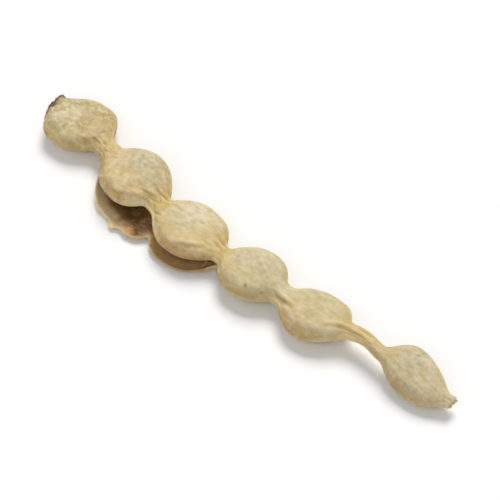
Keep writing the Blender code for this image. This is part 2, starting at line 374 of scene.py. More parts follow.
def spread(values, rounds):
    """Evens values out over the skin by taking the mean of each point and its neighbours, round by round."""
    neighbours = np.bincount(links, minlength=count)
    for _ in range(rounds):
        total = np.bincount(link_starts, values[link_ends], count)
        total += np.bincount(link_ends, values[link_starts], count)
        values = (values + total / neighbours) / 2
    return values


in_gape = rise(x, PARTED_FROM - BEFORE, PARTED_FROM + WITHIN)
in_gape *= rise(x, PARTED_TO + BEFORE, PARTED_TO - WITHIN)
outward = np.where(upper, 1.0, -1.0) * facing[:, 2]
from_far_edge = along(far_edge) - y
behind_lip = rise(np.minimum(y - along(upper_near_edge), rim), *BACK_DEPTH) * rise(from_far_edge, *FAR_WALL)
facing_in = np.maximum(rise(outward, INNER_FACING, -INNER_FACING), behind_lip * rise(outward, *BACK_FACING))
past_margin = rise(rim / by_place(MARGIN), 0.8, 1.15)
inside = spread(in_gape * facing_in * rise(from_far_edge, *FAR_SEAM) * past_margin, SOFTENING)
print("inside:", int((inside > 0.5).sum()), "of", count, "points")

# %% [markdown]
# ## Relief
# As the pod dries, fibres stand out and the flesh between them sinks. The relief is a sum of plain parts,
# each a height in millimetres: ridges that gather in the necks, wrinkles like worm tracks on the first
# lobe, long shallow ridges on the others, the raised rim with the furrow beside it, and a general
# unevenness. The skin is then moved along its own normals. A displacement texture could do it too, but it
# would not know where the necks are.
#
# The longest grooves of the necks run where those of the real pod run, so they are drawn as lines with a
# few bends. A little noise makes them wander, and each has a ridge beside it.

# %% The lines of the long grooves
# Their strength, their half width, and the x and y of their bends seen from above, in mm.
LONG_GROOVES = (
    (0.6, 0.26, ((-42.8, 1.4), (-41.2, 1.7))),
    (0.6, 0.26, ((-40.7, 2.3), (-39.1, 2.2))),
    (0.5, 0.24, ((-44.2, -0.2), (-42.6, 0.3))),
    (0.5, 0.24, ((-39.3, 1.0), (-37.9, 0.9))),
    (0.5, 0.24, ((-41.6, 0.4), (-40.2, 0.3))),
    (0.9, 0.3, ((-25.9, -2.0), (-24.0, -1.6), (-21.9, -1.0))),
    (0.7, 0.28, ((-24.2, 0.2), (-22.6, 0.3), (-19.0, 0.8))),
    (0.7, 0.28, ((-25.2, -2.7), (-23.0, -1.9), (-20.6, -1.5))),
    (0.3, 0.35, ((-18.4, 0.0), (-15.2, -0.1))),
    (0.45, 0.42, ((-31.0, -6.2), (-28.5, -5.8), (-26.6, -4.9), (-25.0, -3.6), (-23.6, -2.3))),
    (0.6, 0.42, ((-12.4, -7.2), (-9.4, -6.0), (-7.6, -4.5), (-6.0, -2.9))),
    (0.6, 0.35, ((-7.0, 0.6), (-4.7, 0.2), (-1.3, 0.1))),
    (0.4, 0.3, ((-6.4, -1.0), (-3.6, -1.1))),
    (0.8, 0.4, ((10.6, -1.6), (13.9, -2.2), (17.6, -2.5))),
    (0.9, 0.4, ((24.0, -1.8), (27.3, 0.9), (29.0, 1.6), (31.8, 1.9), (36.6, 1.8))),
    (0.4, 0.35, ((29.4, 3.0), (34.7, 3.6))),
)
WANDER = 0.12
wander = WANDER * noise_of(1.2, 1.2, 1.2, 15.0)


def along_line(bends):
    """How far each point is from a bent line, seen from above, and where along it, from 0 to 1."""
    nearest, place_along, done = np.full(count, np.inf), np.zeros(count), 0.0
    whole = sum(math.dist(start, end) for start, end in zip(bends, bends[1:]))
    for (ax, ay), (bx, by) in zip(bends, bends[1:]):
        piece = math.hypot(bx - ax, by - ay)
        run_x, run_y = x - ax, y + wander - ay
        share = np.clip((run_x * (bx - ax) + run_y * (by - ay)) / piece**2, 0.0, 1.0)
        gap = np.hypot(run_x - share * (bx - ax), run_y - share * (by - ay))
        place_along = np.where(gap < nearest, (done + share * piece) / whole, place_along)
        nearest = np.minimum(nearest, gap)
        done += piece
    return nearest, place_along


print(len(LONG_GROOVES), "long grooves")

# %% Grooves through the necks
NECK_HALF_WIDTH, LOBE_HALF_WIDTH = 2.6, 5.8
SPACING, SPREADING, SWAY = 0.75, 0.1, 0.5
GROOVE_DEPTH, RIDGE_HEIGHT = 0.3, 0.12
RIDGE_BESIDE = 2.4
# How strongly the skin is grooved: x in mm, strength.
GROOVED = (
    (-56, 0.5), (-53, 0.0), (-45, 0.0), (-42, 0.2), (-38.5, 0.2), (-36, 0.1), (-34, 0.0), (-29, 0.0),
    (-26, 0.3), (-21, 0.5), (-18, 0.3), (-16, 0.0), (-9, 0.0), (-6, 0.2), (-3, 0.25), (0, 0.0),
    (12, 0.05), (26, 0.0), (37, 0.0), (50, 0.1), (54, 0.3),
)
neck = rise(half_width, LOBE_HALF_WIDTH, NECK_HALF_WIDTH)
sway = noise_of(6.0, 2.4, 6.0, 3.0) + 0.5 * noise_of(2.5, 1.2, 3.0, 4.0)
sideways = from_middle * half_width + SWAY * sway
wave = np.cos(2 * math.pi * sideways / (SPACING + SPREADING * half_width))
broken = rise(noise_of(2.2, 0.8, 3.0, 11.0), -0.15, 0.2)
groove = broken * rise(wave, 0.2, 0.95) * by_place(GROOVED) * rise(from_middle, 0.65, 0.25)
ridge = np.zeros(count)
for strength, width, bends in LONG_GROOVES:
    gap, where = along_line(bends)
    faded = strength * (1 - np.abs(2 * where - 1) ** 2)
    groove = np.maximum(groove, faded * bump_at(gap, 0.0, width))
    ridge = np.maximum(ridge, faded * bump_at(gap, RIDGE_BESIDE * width, width))
groove *= rise(rim, 0.3, 0.9)
neck_relief = RIDGE_HEIGHT * ridge - GROOVE_DEPTH * groove
print("the necks' relief goes from", round(neck_relief.min(), 2), "to", round(neck_relief.max(), 2), "mm")

# %% [markdown]
# The first lobe has shrunk the most. Its skin is cobbled, with creases that meet like the cracks of dry
# mud. Bent Voronoi cells give such a net: where the nearest and the second nearest cell are equally far, a
# crease runs.

# %% Wrinkles of the first lobe
FIRST_LOBE_END = (-38.0, -42.5)
CRUMPLE_HEIGHT, CREASE_DEPTH = 0.22, 0.2
CELL_LENGTH, CELL_WIDTH, CELL_BEND = 1.9, 1.2, 0.5


def creases_between_cells(length, width, seed):
    """1 on the lines of an uneven cobbling and 0 on its cells, which have that size in mm."""
    bend_x, bend_y = (CELL_BEND * noise_of(1.6, 1.6, 1.6, own_seed) for own_seed in (seed, seed + 1))
    gaps = []
    for cell_point in zip(x / length + bend_x, y / width + bend_y, z / width + seed):
        near, second = noise.voronoi(Vector(cell_point))[0][:2]
        gaps.append(second - near)
    return rise(np.array(gaps), 0.3, 0.0)


on_first = rise(x, *FIRST_LOBE_END)
off_rim = rise(rim, 0.2, 1.0)
creased_here = rise(noise_of(3.0, 3.0, 3.0, 13.0), -0.4, 0.1)
crease = on_first * creases_between_cells(CELL_LENGTH, CELL_WIDTH, 8.0) * creased_here * off_rim
crumple = noise_of(3.0, 2.0, 2.4, 5.0, turn=-20.0)
wrinkles = CRUMPLE_HEIGHT * on_first * crumple * off_rim - CREASE_DEPTH * crease
print("wrinkles from", round(wrinkles.min(), 2), "to", round(wrinkles.max(), 2), "mm")

# %% [markdown]
# The other lobes are smoother, with short dashes of fibre along them. The last one has ridges that fan out
# from its neck, and a broad welt runs along the near side of the long neck. A thin rim is raised along
# every edge, with a furrow beside it, and shallow dents keep the domes from looking turned on a lathe.

# %% Long ridges on the other lobes
LAST_LOBE_START = 38.0
WELT_FROM, WELT_TO, WELT_HEIGHT = 22.0, 40.0, 0.28
EASE = 4.0
DASH_HEIGHT, FAN_HEIGHT, FAN_RIDGES = 0.06, 0.06, 6.0
on_last = rise(x, LAST_LOBE_START, LAST_LOBE_START + EASE)
by_welt = rise(x, WELT_FROM, WELT_FROM + EASE) * rise(x, WELT_TO, WELT_TO - EASE)
welt = WELT_HEIGHT * by_welt * bump_at(from_middle, -0.45, 0.35)
dashes = noise_of(4.5, 0.9, 4.0, 21.0, turn=-6.0) + 0.5 * noise_of(2.2, 0.6, 2.0, 23.0, turn=8.0)
fan = np.cos(math.pi * FAN_RIDGES * (from_middle + 0.16 * noise_of(7.0, 2.5, 6.0, 27.0)))
fanned = FAN_HEIGHT * on_last * fan * rise(from_middle, 0.4, -0.4)
long_ridges = (1 - on_first) * (DASH_HEIGHT * dashes * (1 - by_welt) + fanned) * rise(rim, 0.3, 3.0)
print("long ridges up to", round(long_ridges.max(), 2), "mm, the welt up to", round(welt.max(), 2), "mm")

# %% The rim, the furrow beside it, and a general unevenness
RIM_MIDDLE, RIM_WIDTH, RIM_HEIGHT = 0.3, 0.25, 0.05
FURROW_MIDDLE, FURROW_WIDTH, FURROW_DEPTH = 0.95, 0.35, 0.07
DENT_DEPTH, PIT_DEPTH = 0.14, 0.05
raised_rim = RIM_HEIGHT * bump_at(rim, RIM_MIDDLE, RIM_WIDTH)
furrow = FURROW_DEPTH * bump_at(rim, FURROW_MIDDLE, FURROW_WIDTH)
uneven = np.clip(0.5 + 1.2 * noise_of(6.0, 6.0, 6.0, 31.0), 0.0, 1.3)
dents = DENT_DEPTH * noise_of(4.2, 3.2, 4.0, 35.0) + PIT_DEPTH * noise_of(1.5, 1.1, 1.3, 37.0)
relief = neck_relief + wrinkles + long_ridges + welt
relief += uneven * (raised_rim - furrow)
relief += dents * rise(rim, 0.3, 1.5)
relief *= 1 - inside
print("relief from", round(relief.min(), 2), "to", round(relief.max(), 2), "mm")

# %% [markdown]
# The pod has broken off at both ends, and at the second lobe the lower valve has torn along its edge, which
# leaves pale fibres and small teeth. Loose hairs would be far too fine to see at this size, so the skin
# itself is frayed: noise moves the ends along the pod, and the torn edge square to its own line.

# %% Fibres of the broken ends and of the torn edge
END_LENGTH, END_FULL = 1.3, 0.2
NEAR_SIDE = -0.2
# How pale and frayed the lower valve's edge is: x in mm, strength. At TORN_MOST it is torn furthest in.
TORN = ((-37.0, 0.15), (-32.5, 0.3), (-30.0, 1.0), (-28.0, 1.0), (-25.0, 0.7), (-22.5, 0.0))
TORN_MOST = -30.0
at_end = rise(np.minimum(x - x.min(), x.max() - x), END_LENGTH, END_FULL)
parted_margin = in_gape * ~upper * (from_middle < NEAR_SIDE)
torn_width = 1.2 + 1.3 * bump_at(x, TORN_MOST, 2.5) + 0.6 * noise_of(1.1, 1.1, 1.1, 43.0)
torn_edge = parted_margin * rise(rim / torn_width, 1.0, 0.6) * by_place(TORN)
frayed = 0.7 * noise_of(0.8, 0.6, 0.6, 41.0) + 0.4 * noise_of(0.45, 0.35, 0.35, 47.0)
teeth = noise_of(1.3, 60.0, 60.0, 49.0) + 0.6 * noise_of(0.55, 60.0, 60.0, 51.0)
edge_slope = along(np.gradient(lower_near_edge, SLICE))
edge_length = np.hypot(edge_slope, 1.0)
print("frayed:", int((np.maximum(at_end, torn_edge) > 0.5).sum()), "points")

# %% Moving the skin, but never through the surface that it lies on
FRAY, FRAY_UP, TEAR = 0.3, 0.35, 0.45
height = relief * (1 - at_end) + FRAY * FRAY_UP * frayed * np.maximum(at_end, torn_edge)
moved = place + facing * height[:, None]
moved[:, 0] += np.sign(x) * FRAY * frayed * at_end
moved[:, 0] += TEAR * teeth * torn_edge * edge_slope / edge_length
moved[:, 1] -= TEAR * teeth * torn_edge / edge_length
moved[:, 2] = np.maximum(moved[:, 2], np.minimum(z, 0.0))
dry_pod.data.vertices.foreach_set("co", (moved * MM).ravel())
dry_pod.data.update()
print("raised by up to", round(height.max(), 2), "mm and sunk by up to", round(-height.min(), 2), "mm")

# %% [markdown]
# ## Marks for the materials
# A material reads the masks as attributes of the mesh, so they follow the skin from any side. One more is
# measured on the finished skin: how far each point stands above or below its surroundings. The hollows get
# painted shade, and the crests are rubbed pale.

# %% Crests and hollows, and the marks of the relief
HOLLOW_ROUNDS = 12
# How high in mm counts as fully raised, and by what share it is more on the crumpled first lobe.
HOLLOW_SCALE, FIRST_LOBE_SCALE = 0.12, 0.7


def store(piece, name, values):
    """Keeps one value for each point of the piece, for its material to read by that name."""
    mark = piece.data.attributes.new(name, "FLOAT", "POINT")
    mark.data.foreach_set("value", np.asarray(values, dtype=np.float32))
    print(name, "from", round(float(values.min()), 2), "to", round(float(values.max()), 2))


settled = np.column_stack([spread(moved[:, axis], HOLLOW_ROUNDS) for axis in range(3)])
above = ((moved - settled) * facing).sum(axis=1)
standing = np.clip(above / (HOLLOW_SCALE * (1 + FIRST_LOBE_SCALE * on_first)), -1.0, 1.0)
store(dry_pod, "inside", inside)
store(dry_pod, "groove", groove)
store(dry_pod, "crease", crease)
store(dry_pod, "torn", np.maximum(at_end, torn_edge))

# %% [markdown]
# The colour changes along the pod too: each lobe has bleached, greyed or stayed warm in its own places, as
# it lay in the sun. Some of the pale places are painted highlights, where a crown, a lip, a neck or the tip
# faces the light. Painting it by hand on an unwrapped skin is the usual way. Here short tables say where
# and how much, as rows along the pod or as soft round patches, which keeps every mark easy to find and to
# change.


# %% Bleached places and painted highlights, grey, warm and green places
def patches(places):
    """Soft round patches, each given by x, share across from -1 to 1, half length and strength."""
    total = np.zeros(count)
    for middle, share, half_length, strength in places:
        away_from = np.hypot(x - middle, (from_middle - share) * half_width) / half_length
        total = np.maximum(total, strength * np.exp(-(away_from**2)))
    return total


# Pale patches. The ones on the third lobe's crown, along the lips by the neck between the second and third
# lobes, on the neck between the fourth and fifth lobes and at the tip are painted highlights; the others
# bleach the skin.
PALING_AND_HIGHLIGHTS = (
    (-51.0, -0.1, 4.0, 1.0), (-40.5, 0.1, 3.0, 0.9), (-34.5, 0.1, 3.0, 0.4), (-24.2, -0.95, 1.5, 1.3),
    (-18.0, -0.92, 1.8, 1.3), (-14.3, 0.33, 4.2, 1.3), (-0.6, 0.1, 2.6, 0.9), (4.2, 0.2, 4.6, 0.7),
    (12.7, 0.2, 3.8, 1.1), (47.0, 0.6, 4.5, 0.6), (54.5, 0.0, 2.8, 1.0),
)
GREYING = (
    (-46.5, 0.4, 1.6, 0.8), (-29.5, 0.5, 4.2, 1.3), (-25.5, 0.45, 3.0, 0.9), (4.2, 0.1, 6.5, 0.8),
    (20.0, 0.2, 5.5, 0.6), (44.0, 0.6, 5.0, 1.3), (45.0, 0.0, 10.0, 1.0),
)
WARMTH = (
    (-43.5, -0.3, 3.0, 0.8), (-43.0, 0.4, 3.4, 1.0), (-30.0, -0.75, 4.5, 0.7), (-21.5, 0.0, 3.5, 0.5),
    (-15.0, -0.85, 5.0, 0.6), (1.0, -0.85, 3.5, 0.7), (17.0, -0.85, 4.5, 0.8), (30.0, 0.3, 4.0, 0.4),
)
GREENING = ((4.0, -0.6, 3.6, 0.8), (20.0, -0.1, 4.5, 0.4))
WELT_HIGHLIGHT = 0.6
# Painted highlight: the welt along the long neck is paled where it bulges up to the light.
bleach_and_highlight = np.maximum(patches(PALING_AND_HIGHLIGHTS), WELT_HIGHLIGHT * (by_welt * rise(from_middle, 0.0, -0.25)))
store(dry_pod, "bleach_and_highlight", bleach_and_highlight)
store(dry_pod, "grey", patches(GREYING))
store(dry_pod, "warm", patches(WARMTH))
store(dry_pod, "green", patches(GREENING))

# %% Crowns, necks, and painted shade on the near flanks
# Lobes and necks in turn: x in mm, how bleached the crown is, how much ochre painted shade the near flank
# gets, how mottled all is.
LOBES = (
    (-56.0, 0.35, 0.0, 1.4),
    (-48.0, 0.6, 0.0, 1.4),
    (-39.0, 0.3, 0.3, 1.3),
    (-29.0, 0.8, 0.8, 1.5),
    (-21.0, 0.35, 0.8, 1.1),
    (-12.3, 1.0, 0.8, 1.0),
    (-3.6, 0.35, 0.5, 0.8),
    (4.2, 0.8, 0.2, 0.7),
    (12.7, 0.4, 0.2, 0.7),
    (20.0, 0.6, 0.2, 0.9),
    (31.0, 0.4, 0.1, 0.7),
    (45.0, 0.5, 0.1, 0.9),
    (55.0, 0.4, 0.0, 0.8),
)
BLEACHING, NEAR_WARM_SHADE, MOTTLING = 1, 2, 3
# How ochre the necks are: x in mm, strength. And two ochre patches on the third lobe, given as above.
OCHRE_NECKS = (
    (-56.0, 0.2), (-39.0, 0.8), (-21.0, 1.1), (-3.6, 1.3), (-2.2, 0.9), (0.2, 0.2), (12.7, 0.0), (28.0, 0.45),
    (37.0, 0.45), (54.0, 0.0),
)
OCHRE_PATCHES = ((-8.3, -0.15, 3.0, 0.7), (-6.6, -0.5, 1.6, 0.9))
# Painted shade: the near flanks, turned from the light, are tinted ochre as a warm shade, and this rides in
# the neck mask with the necks' own ochre.
near_flank_warm_shade = rise(from_middle, -0.1, -0.75) * (1 - 0.7 * np.minimum(bleach_and_highlight, 1.0)) * by_place(LOBES, NEAR_WARM_SHADE)
ochre_neck = np.maximum(neck * by_place(OCHRE_NECKS), patches(OCHRE_PATCHES))
store(dry_pod, "neck", np.maximum(ochre_neck, near_flank_warm_shade))
store(dry_pod, "crown", rise(rim, 0.8, 4.2) * by_place(LOBES, BLEACHING))
store(dry_pod, "mottled", by_place(LOBES, MOTTLING))

# %% [markdown]
# The rim is browner than the domes, more so on the upper valve's lips and on the near side, and part of that
# brown is painted shade, as is the darker rim of the lower valve along the third lobe. Where a lip faces the
# light it gets a painted highlight, as the ridges beside the grooves do. The broad margin of the torn valve
# gets pale reddish painted light where the upper valve shades it, the gap darkens inwards with painted shade,
# and the stub at the first lobe is nearly black.

# %% Rims with painted shade, painted highlights on the lips, painted light on the flap, and the stub
# How brown the rim is, partly as painted shade, and how much of that the lower valve has: x in mm, strength.
BROWN_RIM_AND_SHADE = (
    (-56.0, 0.8), (-39.0, 0.8), (-31.0, 1.8), (-28.0, 3.0), (-26.3, 0.0), (-16.5, 0.0), (-14.5, 3.0),
    (-10.5, 2.8), (-4.5, 2.2), (-2.5, 0.6), (4.2, 0.8), (12.7, 0.5), (20.0, 1.0), (31.0, 0.6), (45.0, 0.8),
    (55.0, 0.5),
)
LOWER_RIM_AND_SHADE = ((-38.0, 0.4), (-36.0, 0.1), (-24.0, 0.1), (-19.0, 0.7), (-3.0, 0.7), (-1.0, 0.4))
# Painted highlights on the lips of the upper valve: x in mm, how pale they are, how far in from the edge in
# mm.
LIP_HIGHLIGHTS = (
    (-27.0, 0.0, 0.45), (-25.5, 0.6, 0.45), (-21.5, 0.8, 0.45), (-19.5, 0.0, 0.45),
    (-9.8, 0.0, 1.0), (-7.0, 1.3, 1.0), (-3.5, 1.3, 1.0), (-2.0, 0.0, 1.0),
)
LIP_HIGHLIGHT, LIP_IN, LIP_WIDTH = 1, 2, 0.45
# How much painted light the broad margin of the lower valve gets where the upper valve shades it: x in mm,
# strength.
FLAP_LIGHT = ((-36.0, 0.0), (-34.0, 0.5), (-31.5, 0.9), (-26.0, 0.9), (-24.0, 0.0))
STUB_LENGTH, STUB_FULL = 2.3, 0.5
# Partly painted shade: the rim's brown is strongest on the near side, and the lower valve's share is raised
# along the third lobe, where it lies in shade.
rim_brown_and_shade = rise(rim, 1.0 + 0.9 * in_gape, 0.2) * rise(from_middle, 0.9, -0.6)
rim_brown_and_shade *= np.where(upper, 1.0, by_place(LOWER_RIM_AND_SHADE))
store(dry_pod, "rim", rim_brown_and_shade * by_place(BROWN_RIM_AND_SHADE))
store(dry_pod, "standing", standing * (1 - 0.8 * rim_brown_and_shade) * 0.5 + 0.5)
# Painted highlight: a pale line along the lips that face the light, and on the ridges beside the grooves.
lip_highlight = upper * bump_at(rim, by_place(LIP_HIGHLIGHTS, LIP_IN), LIP_WIDTH) * rise(from_middle, -0.4, -0.7)
store(dry_pod, "ridge_and_lip_highlight", np.maximum(ridge * (1 - groove), lip_highlight * by_place(LIP_HIGHLIGHTS, LIP_HIGHLIGHT)))
# Painted light: the flap's margin is paled where the upper valve shades it.
store(dry_pod, "flap_light", parted_margin * rise(rim, 3.0, 1.6) * by_place(FLAP_LIGHT))
stub_reach = x - x.min() + 0.7 * noise_of(1.6, 1.6, 1.6, 53.0)
store(dry_pod, "stub", rise(stub_reach, STUB_LENGTH, STUB_FULL))

# %% How dark the painted shade in the gap is
DEEPEST = 6.0
# Painted shade: the gap darkens inwards from the edge, two necks and the start of the second lobe are darker,
# and the third lobe is a little more open.
DARK_NECKS = ((-20.7, 1.9), (-4.6, 1.5))
NECK_SHADE, START_SHADE, THIRD_LIGHT = 0.5, 0.3, 0.1
gap_shade = rim / DEEPEST
for middle, half_length in DARK_NECKS:
    gap_shade += NECK_SHADE * bump_at(x, middle, half_length)
gap_shade += START_SHADE * rise(x, -31.5, -34.5)
gap_shade -= THIRD_LIGHT * rise(x, -20.0, -17.0)
store(dry_pod, "gap_shade", np.clip(gap_shade, 0.0, 1.0))
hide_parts("pod")

# %% [markdown]
# ## The seeds
# A babul seed is a hard, flat oval, dark brown and smooth, with a fine line on each face that follows its
# outline and stays open at one end. A round sphere scaled to the seed's box gives the oval. Flattening the
# crown and pressing in the line turn it into a seed. It lies loose in its lobe, where the solid lies.

# %% A seed shaped from a sphere
SEED_SEGMENTS, SEED_RINGS = 96, 64
LINE_AT, LINE_WIDTH, LINE_DEPTH = 0.62, 0.05, 0.035
LINE_OPEN_ANGLE = math.radians(35.0)
CROWN_POWER = 0.82


def seed_mesh(low, high):
    """A flat oval that fills the box from low to high, with the line of a babul seed on both faces."""
    shell = bmesh.new()
    bmesh.ops.create_uvsphere(shell, u_segments=SEED_SEGMENTS, v_segments=SEED_RINGS, radius=1.0)
    for vertex in shell.verts:
        out = math.hypot(vertex.co.x, vertex.co.y)
        angle = abs(math.atan2(vertex.co.x, vertex.co.y))
        drawn = math.exp(-(((out - LINE_AT) / LINE_WIDTH) ** 2)) if angle > LINE_OPEN_ANGLE else 0.0
        flat = math.copysign(abs(vertex.co.z) ** CROWN_POWER, vertex.co.z)
        vertex.co.z = flat * (1 - LINE_DEPTH * drawn)
    bmesh.ops.scale(shell, vec=(high - low) / 2, verts=shell.verts)
    bmesh.ops.translate(shell, vec=(high + low) / 2, verts=shell.verts)
    return finished_mesh("seed", shell)


seeds = []
for node_name in ("seed_lobe_2", "seed_lobe_3"):
    seed = link_piece("ripe_" + node_name, seed_mesh(*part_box(node_name)))
    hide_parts(node_name)
    seeds.append(seed)
    print(seed.name, "has", len(seed.data.polygons), "faces")

# %% [markdown]
# ## Building materials from nodes
# A few small helpers keep the node code readable. They add a node and fill its inputs, mix two colours by a
# mask, turn a range of values into a smooth step, multiply, and read a mask of the mesh. Wherever an input
# is asked for, a plain number or colour becomes the socket's value, and a socket is linked.


# %% Node helpers
def fill(tree, socket, value):
    """Links the socket to another one, or sets its plain value."""
    if isinstance(value, bpy.types.NodeSocket):
        tree.links.new(value, socket)
    else:
        socket.default_value = value


def add_node(tree, kind, inputs, **settings):
    """Adds a node, sets its properties, and fills its inputs, which are given by name or number."""
    made = tree.nodes.new(kind)
    for name, value in settings.items():
        setattr(made, name, value)
    for label, value in inputs.items():
        fill(tree, made.inputs[label], value)
    return made


def mix(tree, share, first, second, blend="MIX"):
    """The colour between first and second, by a share from 0 to 1."""
    inputs = {0: share, 6: first, 7: second}
    return add_node(tree, "ShaderNodeMix", inputs, data_type="RGBA", blend_type=blend).outputs[2]


def ramp(tree, value, low, high, to_low=0.0, to_high=1.0):
    """Turns value from low to high into a smooth step from to_low to to_high."""
    inputs = {"Value": value, "From Min": low, "From Max": high, "To Min": to_low, "To Max": to_high}
    return add_node(tree, "ShaderNodeMapRange", inputs, interpolation_type="SMOOTHSTEP").outputs["Result"]


def calculate(tree, operation, first, second):
    """The result of one operation of the Math node."""
    return add_node(tree, "ShaderNodeMath", {0: first, 1: second}, operation=operation).outputs[0]


def times(tree, first, second):
    """The product of two values."""
    return calculate(tree, "MULTIPLY", first, second)


def attribute(tree, name):
    """A mask that was stored with the mesh."""
    return add_node(tree, "ShaderNodeAttribute", {}, attribute_name=name).outputs["Fac"]


# %% Helpers for node groups
def new_group(name, inputs, outputs):
    """A node group with named sockets, given as name: (type, default). Its ends are returned with it."""
    group = bpy.data.node_groups.new(name, "ShaderNodeTree")
    for label, (kind, default) in inputs.items():
        socket = group.interface.new_socket(label, in_out="INPUT", socket_type="NodeSocket" + kind)
        if default is not None:
            socket.default_value = default
    for label in outputs:
        group.interface.new_socket(label, in_out="OUTPUT", socket_type="NodeSocketFloat")
    return group, group.nodes.new("NodeGroupInput").outputs, group.nodes.new("NodeGroupOutput").inputs


def use_group(tree, group, inputs):
    """Places a group in a tree with values of its own, and gives its outputs."""
    return add_node(tree, "ShaderNodeGroup", inputs, node_tree=group).outputs


def clouds(tree, at, size, detail, roughness=0.5, warp=0.0):
    """The outputs of soft noise: a value, Fac, that stays near 0.5, and a Color."""
    inputs = {"Vector": at, "Scale": size, "Detail": detail, "Roughness": roughness, "Distortion": warp}
    return add_node(tree, "ShaderNodeTexNoise", inputs).outputs


def lengthwise_place(tree, at, stretch):
    """Coordinates squeezed along Y and Z, so that a pattern on them comes out long along X."""
    squeeze = add_node(tree, "ShaderNodeCombineXYZ", {"X": 1.0, "Y": stretch, "Z": stretch}).outputs[0]
    return add_node(tree, "ShaderNodeVectorMath", {0: at, 1: squeeze}, operation="MULTIPLY").outputs[0]


# %% [markdown]
# ## Effects that the finishes share
# Five effects turn up on the skin, on the lining and on the seeds, each at its own scale: broad and fine
# blotches of colour, soft dapples of dark and pale, a fine grain of fibres and down, a net of veins, and
# small dark specks. Each is a node group that puts out masks only, and the material decides what they do.
# Image textures could hold them, but noise has no seams and fits any shape. All read the object's own
# coordinates in metres, so a size of 1000 is a blotch of about a millimetre.

# %% Blotches
BROAD_RANGE, FINE_RANGE, FINER = (0.36, 0.64), (0.34, 0.66), 4.3
blotches, given, result = new_group(
    "blotches",
    {"Place": ("Vector", None), "Size": ("Float", 250.0), "Warp": ("Float", 0.6)},
    ("Broad", "Fine"),
)
broad = clouds(blotches, given["Place"], given["Size"], 3.0, warp=given["Warp"])["Fac"]
fine = clouds(blotches, given["Place"], times(blotches, given["Size"], FINER), 4.0, roughness=0.6)["Fac"]
blotches.links.new(ramp(blotches, broad, *BROAD_RANGE), result["Broad"])
blotches.links.new(ramp(blotches, fine, *FINE_RANGE), result["Fine"])

# %% Dapples
DARK_RANGE, PALE_RANGE, SMALLER = (0.79, 0.93), (0.71, 0.57), 1.9
dapple, given, result = new_group(
    "dapple", {"Place": ("Vector", None), "Size": ("Float", 700.0)}, ("Dark", "Pale")
)
soft = clouds(dapple, given["Place"], given["Size"], 1.0)["Fac"]
small = clouds(dapple, given["Place"], times(dapple, given["Size"], SMALLER), 0.5)["Fac"]
both = calculate(dapple, "ADD", soft, times(dapple, small, 0.5))
dapple.links.new(ramp(dapple, both, *DARK_RANGE), result["Dark"])
dapple.links.new(ramp(dapple, both, *PALE_RANGE), result["Pale"])

# %% Grain
grain, given, result = new_group(
    "grain",
    {"Place": ("Vector", None), "Stretch": ("Float", 7.0), "Size": ("Float", 2600.0)},
    ("Fibres", "Down"),
)
fibre_place = lengthwise_place(grain, given["Place"], given["Stretch"])
fibre_size = calculate(grain, "DIVIDE", given["Size"], given["Stretch"])
grain.links.new(clouds(grain, fibre_place, fibre_size, 3.0, warp=0.4)["Fac"], result["Fibres"])
grain.links.new(clouds(grain, given["Place"], given["Size"], 4.0)["Fac"], result["Down"])

# %% Net of veins
VEIN_RANGE = (0.02, 0.3)
WOBBLE_SIZE, WOBBLE = 900.0, 0.7 * MM
net, given, result = new_group(
    "net",
    {"Place": ("Vector", None), "Stretch": ("Float", 2.0), "Size": ("Float", 1500.0)},
    ("Cells",),
)
wobble = clouds(net, given["Place"], WOBBLE_SIZE, 2.0)["Color"]
shift = add_node(net, "ShaderNodeVectorMath", {0: wobble, "Scale": WOBBLE}, operation="SCALE").outputs[0]
shifted = add_node(net, "ShaderNodeVectorMath", {0: given["Place"], 1: shift}, operation="ADD").outputs[0]
vein_place = lengthwise_place(net, shifted, given["Stretch"])
cell_size = calculate(net, "DIVIDE", given["Size"], given["Stretch"])
cells = add_node(
    net, "ShaderNodeTexVoronoi", {"Vector": vein_place, "Scale": cell_size}, feature="DISTANCE_TO_EDGE"
)
net.links.new(ramp(net, cells.outputs["Distance"], *VEIN_RANGE), result["Cells"])

# %% Specks
SPECK_RANGE = (0.34, 0.12)
specks, given, result = new_group(
    "specks",
    {"Place": ("Vector", None), "Size": ("Float", 900.0), "Share": ("Float", 0.3)},
    ("Spots",),
)
cells = add_node(specks, "ShaderNodeTexVoronoi", {"Vector": given["Place"], "Scale": given["Size"]})
chance = add_node(specks, "ShaderNodeSeparateColor", {"Color": cells.outputs["Color"]})
spot = ramp(specks, cells.outputs["Distance"], *SPECK_RANGE)
chosen = calculate(specks, "LESS_THAN", chance.outputs["Red"], given["Share"])
strength = times(specks, chosen, chance.outputs["Green"])
specks.links.new(times(specks, spot, strength), result["Spots"])
print("shared effects:", [group.name for group in bpy.data.node_groups])

# %% [markdown]
# ## The finish of the pod
# Outside, the skin is straw on the flanks, bleached grey-cream on the crowns, ochre in the necks and pinkish
# brown along the rims, with dull green blotches where it dried slowly, and small dark specks. Painted light
# is
# mixed in too: an ochre painted shade on the near flanks, painted shade in the hollows, in the grooves and
# along the near rims, and painted highlights on some crowns, lips and ridges. Inside it is a smooth warm
# brown that darkens with painted shade deep in the gap, and a torn edge shows pale fibres. One material holds
# all of it, mixed by the masks, because on the pod they pass into each other without a line. It is built up
# like paint, from the widest wash to the finest stroke, and blotches break up each wash, so that no mask
# shows its own round shape.

